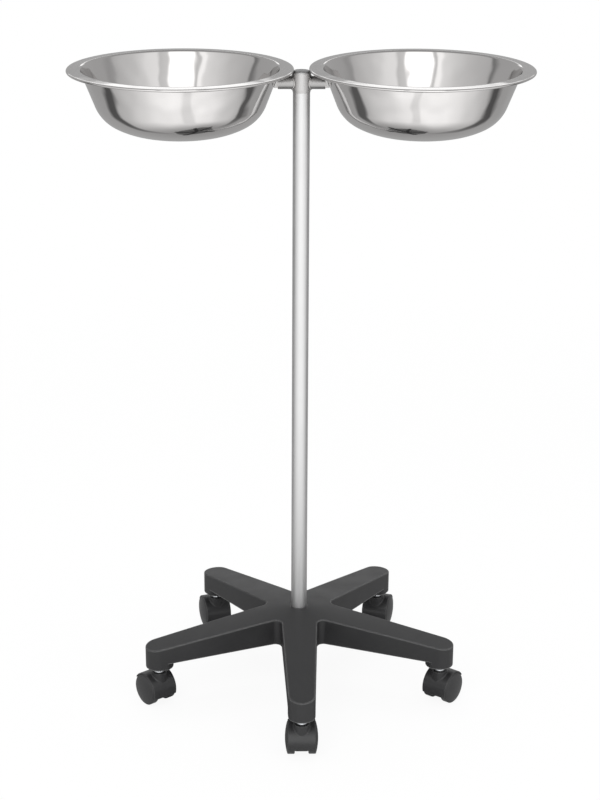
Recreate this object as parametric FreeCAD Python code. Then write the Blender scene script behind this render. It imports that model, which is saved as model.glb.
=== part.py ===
import FreeCAD, Part
import math
import os

# Double basin stand: a five-legged nylon base on twin-wheel castors, a steel column,
# and two lift-off steel basins in rod rings on a short cross arm.
# Frame: millimetres, +Z up, origin on the floor under the column. The front leg points to -Y,
# and the basins stand side by side along X.

# Castors, with the swivel axis at the stem and the axle behind it
WHEEL_DIAMETER = 50.0
WHEEL_WIDTH_OVER_FACES = 50.5
WHEEL_FACE_DOME = 3.4
WHEEL_SHOULDER = 1.0
WHEEL_RIM_THICKNESS = 4.0
WHEEL_DISC_THICKNESS = 3.2
WHEEL_HUB_DIAMETER = 14.0
TREAD_GAP = 21.0
CASTOR_TRAIL = 11.0
AXLE_DIAMETER = 6.0
AXLE_END_CLEARANCE = 0.6
HOOD_WEB_THICKNESS = 17.0
HOOD_WEB_INSET = 3.7
HOOD_WIDTH = 42.0
HOOD_THICKNESS = 1.8
HOOD_GAP_OVER_WHEEL = 0.8
HOOD_FRONT_ANGLE = -18.0
HOOD_BACK_ANGLE = 148.0
HOOD_EDGE_ROUND = 0.8
NECK_DIAMETER = 24.0
NECK_OVER_WHEEL = 6.5
NECK_ROUND = 1.0
NECK_FOOT_ROUND = 2.4
STEM_DIAMETER = 11.0
STEM_LENGTH_IN_LEG = 28.0
STEM_TIP_CHAMFER = 1.5
JOURNAL_DIAMETER = 8.0
JOURNAL_LENGTH = 20.0
CASTOR_WASHER_DIAMETER = 17.4
CASTOR_WASHER_THICKNESS = 2.2
HOOD_GAP_UNDER_WASHER = 0.8
GRIP_RING_HEIGHT = 1.4
GRIP_RING_DEPTH = 0.8
GRIP_RING_BELOW_TIP = 5.0
GRIP_RING_SLIT = 1.5
# Directions that the hoods face, in degrees from +X, in the order of the legs
CASTOR_HEADINGS = {"front": -90.0, "right": -128.0, "back_right": -108.0, "back_left": -72.0, "left": -52.0}

# Star base
LEG_COUNT = 5
FRONT_LEG_ANGLE = -90.0
STEM_CIRCLE_RADIUS = 234.0
LEG_WIDTH_AT_AXIS = 60.4
LEG_END_DIAMETER = 41.4
LEG_CROTCH_ROUND = 11.0
LEG_TOP_ROUND = 1.8
LEG_TOP_FALL_ANGLE = 8.3
LEG_UNDERSIDE_FALL_ANGLE = 3.22
HUB_HEIGHT = 48.3
HUB_OVER_BOSS = 20.0
LEG_TOP_PEAK_OVER_HUB = 2.9
LEG_UNDERSIDE_PEAK_OVER_HUB = 3.0
LEG_WALL = 4.0
LEG_ROOF = 5.0
BOSS_RADIUS = 23.0
SOCKET_DIAMETER = 15.2
SOCKET_DROP = 7.5
SOCKET_POCKET_DEPTH = 12.0
RIB_THICKNESS = 2.6
RIB_RECESS = 3.0
RIB_FIRST_RADIUS = 78.0
RIB_SPACING = 36.0
RIB_COUNT = 4
HUB_TUBE_DIAMETER = 46.0
HUB_FLOOR = 5.0
HUB_MOUTH_CHAMFER = 0.8

# Column and what holds it
COLUMN_DIAMETER = 25.0
COLUMN_WALL = 1.5
CAP_BELOW_RIM = 4.1
CAP_HEIGHT = 2.3
CAP_ROUND = 1.9
CAP_SPIGOT_LENGTH = 14.0
FOOT_PLUG_LENGTH = 30.0
HUB_BOLT_DIAMETER = 10.0
HUB_BOLT_REACH = 24.0
HUB_BOLT_HEAD_FLATS = 17.0
HUB_BOLT_HEAD_HEIGHT = 6.4
HEXAGON_SIDES = 6
HUB_WASHER_DIAMETER = 30.0
HUB_WASHER_THICKNESS = 2.5
SEAT_CLEARANCE = 0.05

# Cross arm and the rings
SLEEVE_WALL = 1.5
SLEEVE_BELOW_COLUMN_TOP = 1.0
SLEEVE_SKIRT = 4.4
SLEEVE_TAPER_LENGTH = 5.6
SLEEVE_TAPER_DEPTH = 1.3
ARM_DIAMETER = 19.0
ARM_WALL = 1.5
ARM_BELOW_RIM = 21.7
ARM_END_WALL = 2.0
BRACKET_THICKNESS = 2.5
BRACKET_WIDTH = 16.0
BRACKET_BELOW_ARM_AXIS = 6.5
BRACKET_FOOT_HEIGHT = 9.2
BRACKET_GAP_TO_BASIN = 0.5
RING_ROD_DIAMETER = 6.0
RING_INSET_FROM_RIM = 14.8
RING_GAP_UNDER_FLANGE = 0.3

# Basins
BASIN_RIM_TOP = 1000.0
GAP_BETWEEN_RIMS = 22.0
BASIN_RIM_RADIUS = 164.0
BASIN_BEAD_DIAMETER = 3.6
BASIN_FLANGE_WIDTH = 19.4
BASIN_DEPTH = 95.6
BASIN_SHEET = 0.8
BASIN_WALL_ANGLE = 21.15
BASIN_NECK_ROUND = 3.0
BASIN_BILGE_ROUND = 54.4
BASIN_BILGE_TURN = 61.8
BASIN_BELLY_ROUND = 115.8

RUNNING_CLEARANCE = 0.05

# Cutters run this far past the faces that they open, and edges are found to this tolerance
CUTTER_OVERRUN = 1.0
TOLERANCE = 0.001

UP = FreeCAD.Vector(0, 0, 1)
ORIGIN = FreeCAD.Vector(0, 0, 0)

# Heights of the castors and the base, one on top of the other from the floor
WHEEL_RADIUS = WHEEL_DIAMETER / 2
HOOD_TOP = WHEEL_DIAMETER + NECK_OVER_WHEEL
WASHER_UNDERSIDE = HOOD_TOP + HOOD_GAP_UNDER_WASHER
SOCKET_UNDERSIDE = WASHER_UNDERSIDE + CASTOR_WASHER_THICKNESS
BOSS_UNDERSIDE = SOCKET_UNDERSIDE + SOCKET_DROP
HUB_UNDERSIDE = BOSS_UNDERSIDE + HUB_OVER_BOSS
HUB_TOP = HUB_UNDERSIDE + HUB_HEIGHT
LEG_TOP_AT_AXIS = HUB_TOP + LEG_TOP_PEAK_OVER_HUB
LEG_UNDERSIDE_AT_AXIS = HUB_UNDERSIDE + LEG_UNDERSIDE_PEAK_OVER_HUB
STEM_TIP = SOCKET_UNDERSIDE + STEM_LENGTH_IN_LEG
STEM_FOOT = WASHER_UNDERSIDE - JOURNAL_LENGTH

# Heights of the column's top and the cross arm, down from the rims
COLUMN_TOP = BASIN_RIM_TOP - CAP_BELOW_RIM - CAP_HEIGHT
SLEEVE_TOP = COLUMN_TOP - SLEEVE_BELOW_COLUMN_TOP
ARM_HEIGHT = BASIN_RIM_TOP - ARM_BELOW_RIM
SLEEVE_UNDERSIDE = ARM_HEIGHT - ARM_DIAMETER / 2 - SLEEVE_SKIRT
SLEEVE_TAPER_TOP = SLEEVE_UNDERSIDE + SLEEVE_TAPER_LENGTH
BRACKET_UNDERSIDE = ARM_HEIGHT - BRACKET_BELOW_ARM_AXIS


def point(x, y, z):
    return FreeCAD.Vector(x, y, z)


def cylinder(diameter, bottom, top, x=0.0, y=0.0):
    return Part.makeCylinder(diameter / 2, top - bottom, point(x, y, bottom))


def tube(outer, inner, bottom, top):
    return cylinder(outer, bottom, top).cut(cylinder(inner, bottom, top))


def prism(corners, bottom, top):
    """A plan polygon carried straight up from bottom to top."""
    ring = [point(x, y, bottom) for x, y in corners]
    outline = Part.makePolygon(ring + ring[:1])
    return Part.Face(outline).extrude(UP * (top - bottom))


def arc_through(start, middle, end):
    return Part.Arc(start, middle, end).toShape()


def revolve_profile(edges, axis_point, axis):
    face = Part.Face(Part.Wire(edges))
    solid = face.revolve(axis_point, axis, 360)
    return Part.Solid(solid.Shells[0]) if solid.ShapeType != "Solid" else solid


def save(name, shape):
    shape.exportStep("parts/" + name + ".step")


# Star base
LEG_END_RADIUS = STEM_CIRCLE_RADIUS + LEG_END_DIAMETER / 2
LEG_TOP_SLOPE = math.tan(math.radians(LEG_TOP_FALL_ANGLE))
LEG_UNDERSIDE_SLOPE = math.tan(math.radians(LEG_UNDERSIDE_FALL_ANGLE))


def leg_angle(index):
    return FRONT_LEG_ANGLE + index * 360.0 / LEG_COUNT


def leg_taper():
    """The angle at which a leg's sides run in to touch the half circle round its stem."""
    half = LEG_WIDTH_AT_AXIS / 2
    reach = math.hypot(half, STEM_CIRCLE_RADIUS)
    return math.acos(LEG_END_DIAMETER / 2 / reach) - math.atan2(STEM_CIRCLE_RADIUS, half)


def leg_prism(inset, bottom, top):
    """One leg in plan, along +X, moved in from its outline by the inset."""
    taper = leg_taper()
    root = LEG_WIDTH_AT_AXIS / 2 - inset / math.cos(taper)
    end = LEG_END_DIAMETER / 2 - inset
    touch_x = STEM_CIRCLE_RADIUS + end * math.sin(taper)
    touch_y = end * math.cos(taper)
    near, far = point(touch_x, -touch_y, bottom), point(touch_x, touch_y, bottom)
    near_root, far_root = point(0, -root, bottom), point(0, root, bottom)
    outline = [Part.makeLine(near_root, near), arc_through(near, point(STEM_CIRCLE_RADIUS + end, 0, bottom), far),
               Part.makeLine(far, far_root), Part.makeLine(far_root, near_root)]
    return Part.Face(Part.Wire(outline)).extrude(UP * (top - bottom))


def upright(edge):
    if len(edge.Vertexes) != 2:
        return False
    first, last = edge.Vertexes[0].Point, edge.Vertexes[1].Point
    return math.hypot(first.x - last.x, first.y - last.y) < TOLERANCE


def star_prism(inset, bottom, top):
    """All the legs in plan, joined, with the inner corners between them rounded."""
    star = None
    for index in range(LEG_COUNT):
        leg = leg_prism(inset, bottom, top)
        leg.rotate(ORIGIN, UP, leg_angle(index))
        star = leg if star is None else star.fuse(leg)
    star = star.removeSplitter()
    crotch_limit = LEG_WIDTH_AT_AXIS
    crotches = [edge for edge in star.Edges
                if upright(edge) and math.hypot(edge.Vertexes[0].X, edge.Vertexes[0].Y) < crotch_limit]
    return star.makeFillet(LEG_CROTCH_ROUND + inset, crotches)


def cone(height_at_axis, slope, plateau):
    """The space under a shallow cone that falls outwards from a level middle at plateau."""
    reach = LEG_END_RADIUS + LEG_WIDTH_AT_AXIS
    level = (height_at_axis - plateau) / slope
    corners = [point(0, 0, 0), point(reach, 0, 0), point(reach, 0, height_at_axis - slope * reach),
               point(level, 0, plateau), point(0, 0, plateau)]
    return Part.Face(Part.makePolygon(corners + corners[:1])).revolve(ORIGIN, UP, 360)


def is_upright(face):
    first_u, last_u, first_v, last_v = face.ParameterRange
    return abs(face.normalAt((first_u + last_u) / 2, (first_v + last_v) / 2).z) < TOLERANCE


def rounded_top(star):
    """Round the edges between the sloping tops and the upright sides."""
    edges = []
    for edge in star.Edges:
        faces = star.ancestorsOfType(edge, Part.Face)
        upright_faces = [face for face in faces if is_upright(face)]
        if len(upright_faces) == 1 and edge.BoundBox.ZMin > HUB_UNDERSIDE:
            edges.append(edge)
    return star.makeFillet(LEG_TOP_ROUND, edges)


def stem_place(index):
    turn = math.radians(leg_angle(index))
    return STEM_CIRCLE_RADIUS * math.cos(turn), STEM_CIRCLE_RADIUS * math.sin(turn)


def base_ribs():
    """A spine along each leg and cross ribs over it, held back from the lower edge."""
    half = RIB_THICKNESS / 2
    reach = LEG_WIDTH_AT_AXIS / 2
    far = STEM_CIRCLE_RADIUS
    plans = [[(0, -half), (far, -half), (far, half), (0, half)]]
    for step in range(RIB_COUNT):
        near = RIB_FIRST_RADIUS + step * RIB_SPACING - half
        plans.append([(near, -reach), (near + RIB_THICKNESS, -reach),
                      (near + RIB_THICKNESS, reach), (near, reach)])
    ribs = []
    for index in range(LEG_COUNT):
        for plan in plans:
            rib = prism(plan, BOSS_UNDERSIDE, LEG_TOP_AT_AXIS)
            rib.rotate(ORIGIN, UP, leg_angle(index))
            ribs.append(rib)
    raised = cone(LEG_UNDERSIDE_AT_AXIS + RIB_RECESS, LEG_UNDERSIDE_SLOPE, HUB_UNDERSIDE + RIB_RECESS)
    return ribs[0].multiFuse(ribs[1:]).cut(raised)


def stem_sockets(diameter, bottom, top):
    """A cylinder round each stem, as one shape."""
    sockets = [cylinder(diameter, bottom, top, *stem_place(index)) for index in range(LEG_COUNT)]
    return sockets[0].multiFuse(sockets[1:])


def make_star_base():
    """The rounded star, cut away under the legs and hollowed between its ribs, hub and stem bosses.

    Each leg's end is a cup whose middle holds the stem's socket, and the socket hangs below the cup.
    """
    lowest, highest = BOSS_UNDERSIDE, LEG_TOP_AT_AXIS
    star = star_prism(0.0, lowest, highest).common(cone(LEG_TOP_AT_AXIS, LEG_TOP_SLOPE, HUB_TOP))
    star = rounded_top(star)
    bosses = stem_sockets(2 * BOSS_RADIUS, lowest, highest)
    below = cone(LEG_UNDERSIDE_AT_AXIS, LEG_UNDERSIDE_SLOPE, HUB_UNDERSIDE).cut(bosses)
    ceiling = cone(LEG_TOP_AT_AXIS - LEG_ROOF, LEG_TOP_SLOPE, HUB_TOP - LEG_ROOF)
    hollow = star_prism(LEG_WALL, lowest, highest).common(ceiling)
    hollow = hollow.cut(bosses.fuse(cylinder(HUB_TUBE_DIAMETER, lowest, highest))).cut(base_ribs())
    cups = stem_sockets(LEG_END_DIAMETER - 2 * LEG_WALL, lowest, lowest + SOCKET_POCKET_DEPTH)
    sockets = stem_sockets(SOCKET_DIAMETER, SOCKET_UNDERSIDE, lowest + SOCKET_POCKET_DEPTH)
    base = star.cut(below).cut(hollow).cut(cups).fuse(sockets)

    seat = HUB_UNDERSIDE + HUB_FLOOR
    column_bore = COLUMN_DIAMETER / 2 + SEAT_CLEARANCE
    mouth = Part.makeCone(column_bore, column_bore + HUB_MOUTH_CHAMFER, HUB_MOUTH_CHAMFER,
                          point(0, 0, HUB_TOP - HUB_MOUTH_CHAMFER))
    bores = [cylinder(HUB_BOLT_DIAMETER + 2 * SEAT_CLEARANCE, lowest, highest),
             cylinder(2 * column_bore, seat, highest), mouth,
             stem_sockets(STEM_DIAMETER + 2 * SEAT_CLEARANCE, SOCKET_UNDERSIDE, STEM_TIP + SEAT_CLEARANCE)]
    return base.cut(bores).removeSplitter()


# Castors, each made about its swivel axis with the hood facing +X, then turned and moved out
def make_wheel(side):
    """A wheel turned about its axle: domed face, rim and hub in one, hollow on the inside."""
    face = WHEEL_WIDTH_OVER_FACES / 2
    edge = face - WHEEL_FACE_DOME
    rim_in = TREAD_GAP / 2
    hub_in = HOOD_WEB_THICKNESS / 2 + AXLE_END_CLEARANCE
    rim_bore = WHEEL_RADIUS - WHEEL_RIM_THICKNESS
    bore = AXLE_DIAMETER / 2 + RUNNING_CLEARANCE
    blind = face - WHEEL_DISC_THICKNESS
    disc_in = edge - WHEEL_DISC_THICKNESS
    tread = WHEEL_RADIUS - WHEEL_SHOULDER
    half = tread / 2
    sphere = (tread ** 2 + WHEEL_FACE_DOME ** 2) / (2 * WHEEL_FACE_DOME)
    crown = face - sphere + math.sqrt(sphere ** 2 - half ** 2)

    def at(radius, across):
        return point(radius, side * across, 0)

    corners = [at(0, face), at(0, blind), at(bore, blind), at(bore, hub_in),
               at(WHEEL_HUB_DIAMETER / 2, hub_in), at(WHEEL_HUB_DIAMETER / 2, disc_in),
               at(rim_bore, disc_in), at(rim_bore, rim_in), at(tread, rim_in),
               at(WHEEL_RADIUS, rim_in + WHEEL_SHOULDER), at(WHEEL_RADIUS, edge - WHEEL_SHOULDER),
               at(tread, edge)]
    edges = [Part.makeLine(first, last) for first, last in zip(corners, corners[1:])]
    edges.append(arc_through(at(tread, edge), at(half, crown), at(0, face)))
    wheel = revolve_profile(edges, ORIGIN, point(0, 1, 0))
    wheel.translate(point(-CASTOR_TRAIL, 0, WHEEL_RADIUS))
    return wheel


def drum(radius, low, high):
    """A solid round the axle, from low to high across the castor."""
    return Part.makeCylinder(radius, high - low, point(-CASTOR_TRAIL, low, WHEEL_RADIUS), point(0, 1, 0))


def at_neck_foot(edge, guard_radius):
    """Whether an edge runs where the neck comes out of the guard."""
    middle = edge.valueAt((edge.FirstParameter + edge.LastParameter) / 2)
    from_stem = math.hypot(middle.x, middle.y)
    from_axle = math.hypot(middle.x + CASTOR_TRAIL, middle.z - WHEEL_RADIUS)
    return abs(from_stem - NECK_DIAMETER / 2) < TOLERANCE and abs(from_axle - guard_radius) < TOLERANCE


def make_hood():
    """A curved guard over both wheels, a web between them, and a neck round the stem."""
    inner = WHEEL_RADIUS + HOOD_GAP_OVER_WHEEL
    outer = inner + HOOD_THICKNESS
    half = HOOD_WIDTH / 2
    web = HOOD_WEB_THICKNESS / 2
    guard = drum(outer, -half, half)
    sector = [point(-CASTOR_TRAIL, -half, WHEEL_RADIUS)]
    middle = (HOOD_FRONT_ANGLE + HOOD_BACK_ANGLE) / 2
    far = 2 * outer
    for angle in (HOOD_FRONT_ANGLE, middle, HOOD_BACK_ANGLE):
        turn = math.radians(angle)
        sector.append(sector[0] + point(far * math.cos(turn), 0, far * math.sin(turn)))
    wedge = Part.Face(Part.makePolygon(sector + sector[:1])).extrude(point(0, HOOD_WIDTH, 0))
    guard = guard.common(wedge)
    rims = [edge for edge in guard.Edges if abs(getattr(edge.Curve, "Radius", 0) - outer) < TOLERANCE]
    guard = guard.makeFillet(HOOD_EDGE_ROUND, rims)
    neck = cylinder(NECK_DIAMETER, WHEEL_RADIUS, HOOD_TOP)
    neck = neck.makeFillet(NECK_ROUND, [edge for edge in neck.Edges if edge.BoundBox.ZMin > HOOD_TOP - TOLERANCE])
    hood = guard.fuse(neck)
    hood = hood.makeFillet(NECK_FOOT_ROUND, [edge for edge in hood.Edges if at_neck_foot(edge, outer)])
    for low, high in ((-half - CUTTER_OVERRUN, -web), (web, half + CUTTER_OVERRUN)):
        hood = hood.cut(drum(inner, low, high))
    hood = hood.fuse(drum(WHEEL_RADIUS - HOOD_WEB_INSET, -web, web)).removeSplitter()
    hood = hood.cut(drum(AXLE_DIAMETER / 2, -half, half))
    return hood.cut(cylinder(JOURNAL_DIAMETER + 2 * RUNNING_CLEARANCE,
                             STEM_FOOT - AXLE_END_CLEARANCE, HOOD_TOP))


def make_axle():
    reach = WHEEL_WIDTH_OVER_FACES / 2 - WHEEL_DISC_THICKNESS - AXLE_END_CLEARANCE
    return drum(AXLE_DIAMETER / 2, -reach, reach)


def make_stem():
    """Upper pin in the leg with a groove for its grip ring, and a thinner journal in the hood."""
    upper = cylinder(STEM_DIAMETER, WASHER_UNDERSIDE, STEM_TIP)
    tip = [edge for edge in upper.Edges if edge.BoundBox.ZMin > STEM_TIP - TOLERANCE]
    upper = upper.makeChamfer(STEM_TIP_CHAMFER, tip)
    groove_top = STEM_TIP - GRIP_RING_BELOW_TIP
    groove = tube(STEM_DIAMETER + CUTTER_OVERRUN, STEM_DIAMETER - 2 * GRIP_RING_DEPTH,
                  groove_top - GRIP_RING_HEIGHT, groove_top)
    return upper.cut(groove).fuse(cylinder(JOURNAL_DIAMETER, STEM_FOOT, WASHER_UNDERSIDE)).removeSplitter()


def make_castor_washer():
    return tube(CASTOR_WASHER_DIAMETER, STEM_DIAMETER, WASHER_UNDERSIDE, SOCKET_UNDERSIDE)


def make_grip_ring():
    """A split ring that fills the stem's groove and bears on the bore of the leg."""
    top = STEM_TIP - GRIP_RING_BELOW_TIP
    ring = tube(STEM_DIAMETER, STEM_DIAMETER - 2 * GRIP_RING_DEPTH, top - GRIP_RING_HEIGHT, top)
    slit = Part.makeBox(STEM_DIAMETER, GRIP_RING_SLIT, GRIP_RING_HEIGHT,
                        point(0, -GRIP_RING_SLIT / 2, top - GRIP_RING_HEIGHT))
    return ring.cut(slit)


def place_castor(shape, index, heading):
    placed = shape.copy()
    placed.rotate(ORIGIN, UP, heading)
    placed.translate(point(*stem_place(index), 0))
    return placed


# Column, its cap and the bolt under the hub
COLUMN_SEAT = HUB_UNDERSIDE + HUB_FLOOR
COLUMN_BORE = COLUMN_DIAMETER - 2 * COLUMN_WALL


def make_column_cap():
    """A low plug with a rounded edge, its spigot inside the tube."""
    head = cylinder(COLUMN_DIAMETER, COLUMN_TOP, COLUMN_TOP + CAP_HEIGHT)
    rim = [edge for edge in head.Edges if edge.BoundBox.ZMin > COLUMN_TOP + CAP_HEIGHT - TOLERANCE]
    head = head.makeFillet(CAP_ROUND, rim)
    return head.fuse(cylinder(COLUMN_BORE, COLUMN_TOP - CAP_SPIGOT_LENGTH, COLUMN_TOP))


def make_foot_plug():
    hole = HUB_BOLT_DIAMETER + 2 * SEAT_CLEARANCE
    return tube(COLUMN_BORE, hole, COLUMN_SEAT, COLUMN_SEAT + FOOT_PLUG_LENGTH)


def make_hub_washer():
    return tube(HUB_WASHER_DIAMETER, HUB_BOLT_DIAMETER + 2 * SEAT_CLEARANCE,
                HUB_UNDERSIDE - HUB_WASHER_THICKNESS, HUB_UNDERSIDE)


def make_hub_bolt():
    """A hexagon bolt: its head bears on the washer and its shank ends in the foot plug."""
    head_top = HUB_UNDERSIDE - HUB_WASHER_THICKNESS
    side_angle = 360 // HEXAGON_SIDES
    corner = HUB_BOLT_HEAD_FLATS / 2 / math.cos(math.radians(side_angle / 2))
    turns = [math.radians(corner_angle) for corner_angle in range(0, 360, side_angle)]
    hexagon = [(corner * math.cos(turn), corner * math.sin(turn)) for turn in turns]
    head = prism(hexagon, head_top - HUB_BOLT_HEAD_HEIGHT, head_top)
    return head.fuse(cylinder(HUB_BOLT_DIAMETER, head_top, COLUMN_SEAT + HUB_BOLT_REACH))


# Basins: one profile of the outer face, found from the flange inwards, and revolved as a sheet
BASIN_OFFSET = BASIN_RIM_RADIUS + GAP_BETWEEN_RIMS / 2
FLANGE_INNER_RADIUS = BASIN_RIM_RADIUS - BASIN_FLANGE_WIDTH


def wall_layout():
    """Where the underside of the sheet runs: flange corner, neck round, straight wall, two rounds, floor.

    Each round is given by its centre, its radius and the angles of its ends, in radius and height.
    A surface that slants by an angle t from upright has its normal at t below level.
    """
    slant = math.radians(BASIN_WALL_ANGLE)
    turn = math.radians(BASIN_BILGE_TURN)
    flange = BASIN_RIM_TOP - BASIN_SHEET
    floor = BASIN_RIM_TOP - BASIN_DEPTH
    neck_centre = (FLANGE_INNER_RADIUS + BASIN_NECK_ROUND * math.tan((math.pi / 2 - slant) / 2),
                   flange - BASIN_NECK_ROUND)
    neck_end = (neck_centre[0] - BASIN_NECK_ROUND * math.cos(slant),
                neck_centre[1] + BASIN_NECK_ROUND * math.sin(slant))
    belly_rise = BASIN_BELLY_ROUND * (1 - math.sin(turn))
    bilge_rise = BASIN_BILGE_ROUND * (math.sin(turn) - math.sin(slant))
    wall_drop = neck_end[1] - floor - belly_rise - bilge_rise
    wall_end = (neck_end[0] - wall_drop * math.tan(slant), neck_end[1] - wall_drop)
    bilge_centre = (wall_end[0] - BASIN_BILGE_ROUND * math.cos(slant),
                    wall_end[1] + BASIN_BILGE_ROUND * math.sin(slant))
    bilge_end = (bilge_centre[0] + BASIN_BILGE_ROUND * math.cos(turn),
                 bilge_centre[1] - BASIN_BILGE_ROUND * math.sin(turn))
    belly_centre = (bilge_end[0] - BASIN_BELLY_ROUND * math.cos(turn),
                    bilge_end[1] + BASIN_BELLY_ROUND * math.sin(turn))
    return slant, turn, neck_centre, bilge_centre, belly_centre


def wall_face_radius(height):
    """Radius of the outside of the straight wall at a height."""
    slant, turn, neck_centre, bilge_centre, belly_centre = wall_layout()
    neck_end = (neck_centre[0] - BASIN_NECK_ROUND * math.cos(slant),
                neck_centre[1] + BASIN_NECK_ROUND * math.sin(slant))
    return neck_end[0] - (neck_end[1] - height) * math.tan(slant)


def sheet_edges(depth):
    """The edges of the profile at a depth into the sheet, from the floor out to the flange."""
    slant, turn, neck_centre, bilge_centre, belly_centre = wall_layout()

    def on_round(centre, radius, angle):
        return point(centre[0] + radius * math.cos(angle), 0, centre[1] + radius * math.sin(angle))

    belly = BASIN_BELLY_ROUND - depth
    bilge = BASIN_BILGE_ROUND - depth
    neck = BASIN_NECK_ROUND + depth
    level = -math.pi / 2
    floor_end = on_round(belly_centre, belly, level)
    belly_end = on_round(belly_centre, belly, -turn)
    bilge_end = on_round(bilge_centre, bilge, -slant)
    neck_end = on_round(neck_centre, neck, math.pi - slant)
    flange_start = on_round(neck_centre, neck, math.pi / 2)
    neck_middle = (math.pi - slant + math.pi / 2) / 2
    return [
        Part.makeLine(point(0, 0, floor_end.z), floor_end),
        arc_through(floor_end, on_round(belly_centre, belly, (level - turn) / 2), belly_end),
        arc_through(belly_end, on_round(bilge_centre, bilge, -(turn + slant) / 2), bilge_end),
        Part.makeLine(bilge_end, neck_end),
        arc_through(neck_end, on_round(neck_centre, neck, neck_middle), flange_start),
    ], flange_start


def make_basin(side):
    """The spun sheet: floor, bellied wall, level flange, and an edge rolled under into a bead."""
    outside, outside_flange = sheet_edges(0.0)
    inside, inside_flange = sheet_edges(BASIN_SHEET)
    bead = BASIN_BEAD_DIAMETER / 2
    centre = point(BASIN_RIM_RADIUS - bead, 0, BASIN_RIM_TOP - bead)
    under = BASIN_RIM_TOP - BASIN_SHEET
    curl_start = math.asin((under - centre.z) / bead)
    meet = centre + point(-bead * math.cos(curl_start), 0, under - centre.z)
    top = centre + point(0, 0, bead)
    rim = centre + point(bead, 0, 0)
    eighth = bead * math.cos(math.pi / 4)
    edges = outside + [
        Part.makeLine(outside_flange, meet),
        arc_through(meet, centre + point(0, 0, -bead), rim),
        arc_through(rim, centre + point(eighth, 0, eighth), top),
        Part.makeLine(top, inside_flange),
    ] + inside + [Part.makeLine(inside[0].Vertexes[0].Point, outside[0].Vertexes[0].Point)]
    wire = Part.Wire(Part.sortEdges(edges)[0])
    basin = Part.Face(wire).revolve(ORIGIN, UP, 360)
    basin.translate(point(side * BASIN_OFFSET, 0, 0))
    return basin


# Cross arm: sleeve, two arms coped to it, slanted brackets at their ends and the rod rings
SLEEVE_DIAMETER = COLUMN_DIAMETER + 2 * SLEEVE_WALL
RING_RADIUS = BASIN_RIM_RADIUS - RING_INSET_FROM_RIM
RING_HEIGHT = BASIN_RIM_TOP - BASIN_SHEET - RING_GAP_UNDER_FLANGE - RING_ROD_DIAMETER / 2


def make_cross_sleeve():
    """A tube over the column whose lower edge is drawn in to a taper."""
    outer = SLEEVE_DIAMETER / 2
    bore = COLUMN_DIAMETER / 2 + SEAT_CLEARANCE
    corners = [point(bore, 0, SLEEVE_UNDERSIDE), point(outer - SLEEVE_TAPER_DEPTH, 0, SLEEVE_UNDERSIDE),
               point(outer, 0, SLEEVE_TAPER_TOP), point(outer, 0, SLEEVE_TOP), point(bore, 0, SLEEVE_TOP)]
    return Part.Face(Part.makePolygon(corners + corners[:1])).revolve(ORIGIN, UP, 360)


def slanted_slab(side, near, far, bottom, top, half_width):
    """A slab that leans with the basin's wall, between two distances outwards from that wall."""
    lean = 1 / math.cos(math.radians(BASIN_WALL_ANGLE))
    corners = []
    for height, gap in ((bottom, near), (bottom, far), (top, far), (top, near)):
        radius = wall_face_radius(height) + gap * lean
        corners.append(point(side * (BASIN_OFFSET - radius), -half_width, height))
    return Part.Face(Part.makePolygon(corners + corners[:1])).extrude(point(0, 2 * half_width, 0))


def arm_reach():
    """How far an arm runs from the column: to just short of the basin's wall at the arm's top."""
    return BASIN_OFFSET - wall_face_radius(ARM_HEIGHT + ARM_DIAMETER / 2) - BRACKET_GAP_TO_BASIN


def make_bracket(side):
    """A foot on the arm's end, and a plate that leans with the basin up to the ring that it carries."""
    near, half = BRACKET_GAP_TO_BASIN, BRACKET_WIDTH / 2
    plate = slanted_slab(side, near, near + BRACKET_THICKNESS, BRACKET_UNDERSIDE, RING_HEIGHT, half)
    foot_top = BRACKET_UNDERSIDE + BRACKET_FOOT_HEIGHT
    start, end = side * arm_reach(), side * BASIN_OFFSET
    corners = [point(start, -half, BRACKET_UNDERSIDE), point(start, -half, foot_top),
               point(end, -half, foot_top), point(end, -half, BRACKET_UNDERSIDE)]
    foot = Part.Face(Part.makePolygon(corners + corners[:1])).extrude(point(0, BRACKET_WIDTH, 0))
    foot = foot.cut(slanted_slab(side, -BASIN_OFFSET, near, BRACKET_UNDERSIDE, foot_top, BRACKET_WIDTH))
    return foot.fuse(plate).removeSplitter().cut(make_ring(side))


def make_arm(side):
    """A short tube, closed at its far end and cut to fit round the sleeve and under the bracket."""
    length = arm_reach()
    start, along = point(0, 0, ARM_HEIGHT), point(side, 0, 0)
    arm = Part.makeCylinder(ARM_DIAMETER / 2, length, start, along)
    arm = arm.cut(Part.makeCylinder(ARM_DIAMETER / 2 - ARM_WALL, length - ARM_END_WALL, start, along))
    beyond_plate = slanted_slab(side, -CUTTER_OVERRUN, BRACKET_GAP_TO_BASIN + BRACKET_THICKNESS,
                                BRACKET_UNDERSIDE, RING_HEIGHT, BRACKET_WIDTH / 2)
    return arm.cut([cylinder(SLEEVE_DIAMETER, SLEEVE_UNDERSIDE, SLEEVE_TOP), beyond_plate])


def make_ring(side):
    return Part.makeTorus(RING_RADIUS, RING_ROD_DIAMETER / 2, point(side * BASIN_OFFSET, 0, RING_HEIGHT))


os.makedirs("parts", exist_ok=True)

save("star_base", make_star_base())
save("column_tube", tube(COLUMN_DIAMETER, COLUMN_BORE, COLUMN_SEAT, COLUMN_TOP))
save("column_cap", make_column_cap())
save("foot_plug", make_foot_plug())
save("hub_bolt", make_hub_bolt())
save("hub_washer", make_hub_washer())
save("cross_sleeve", make_cross_sleeve())
for side_name, side in (("left", -1), ("right", 1)):
    save("arm_" + side_name, make_arm(side))
    save("bracket_" + side_name, make_bracket(side))
    save("ring_" + side_name, make_ring(side))
    save("basin_" + side_name, make_basin(side))

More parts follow.
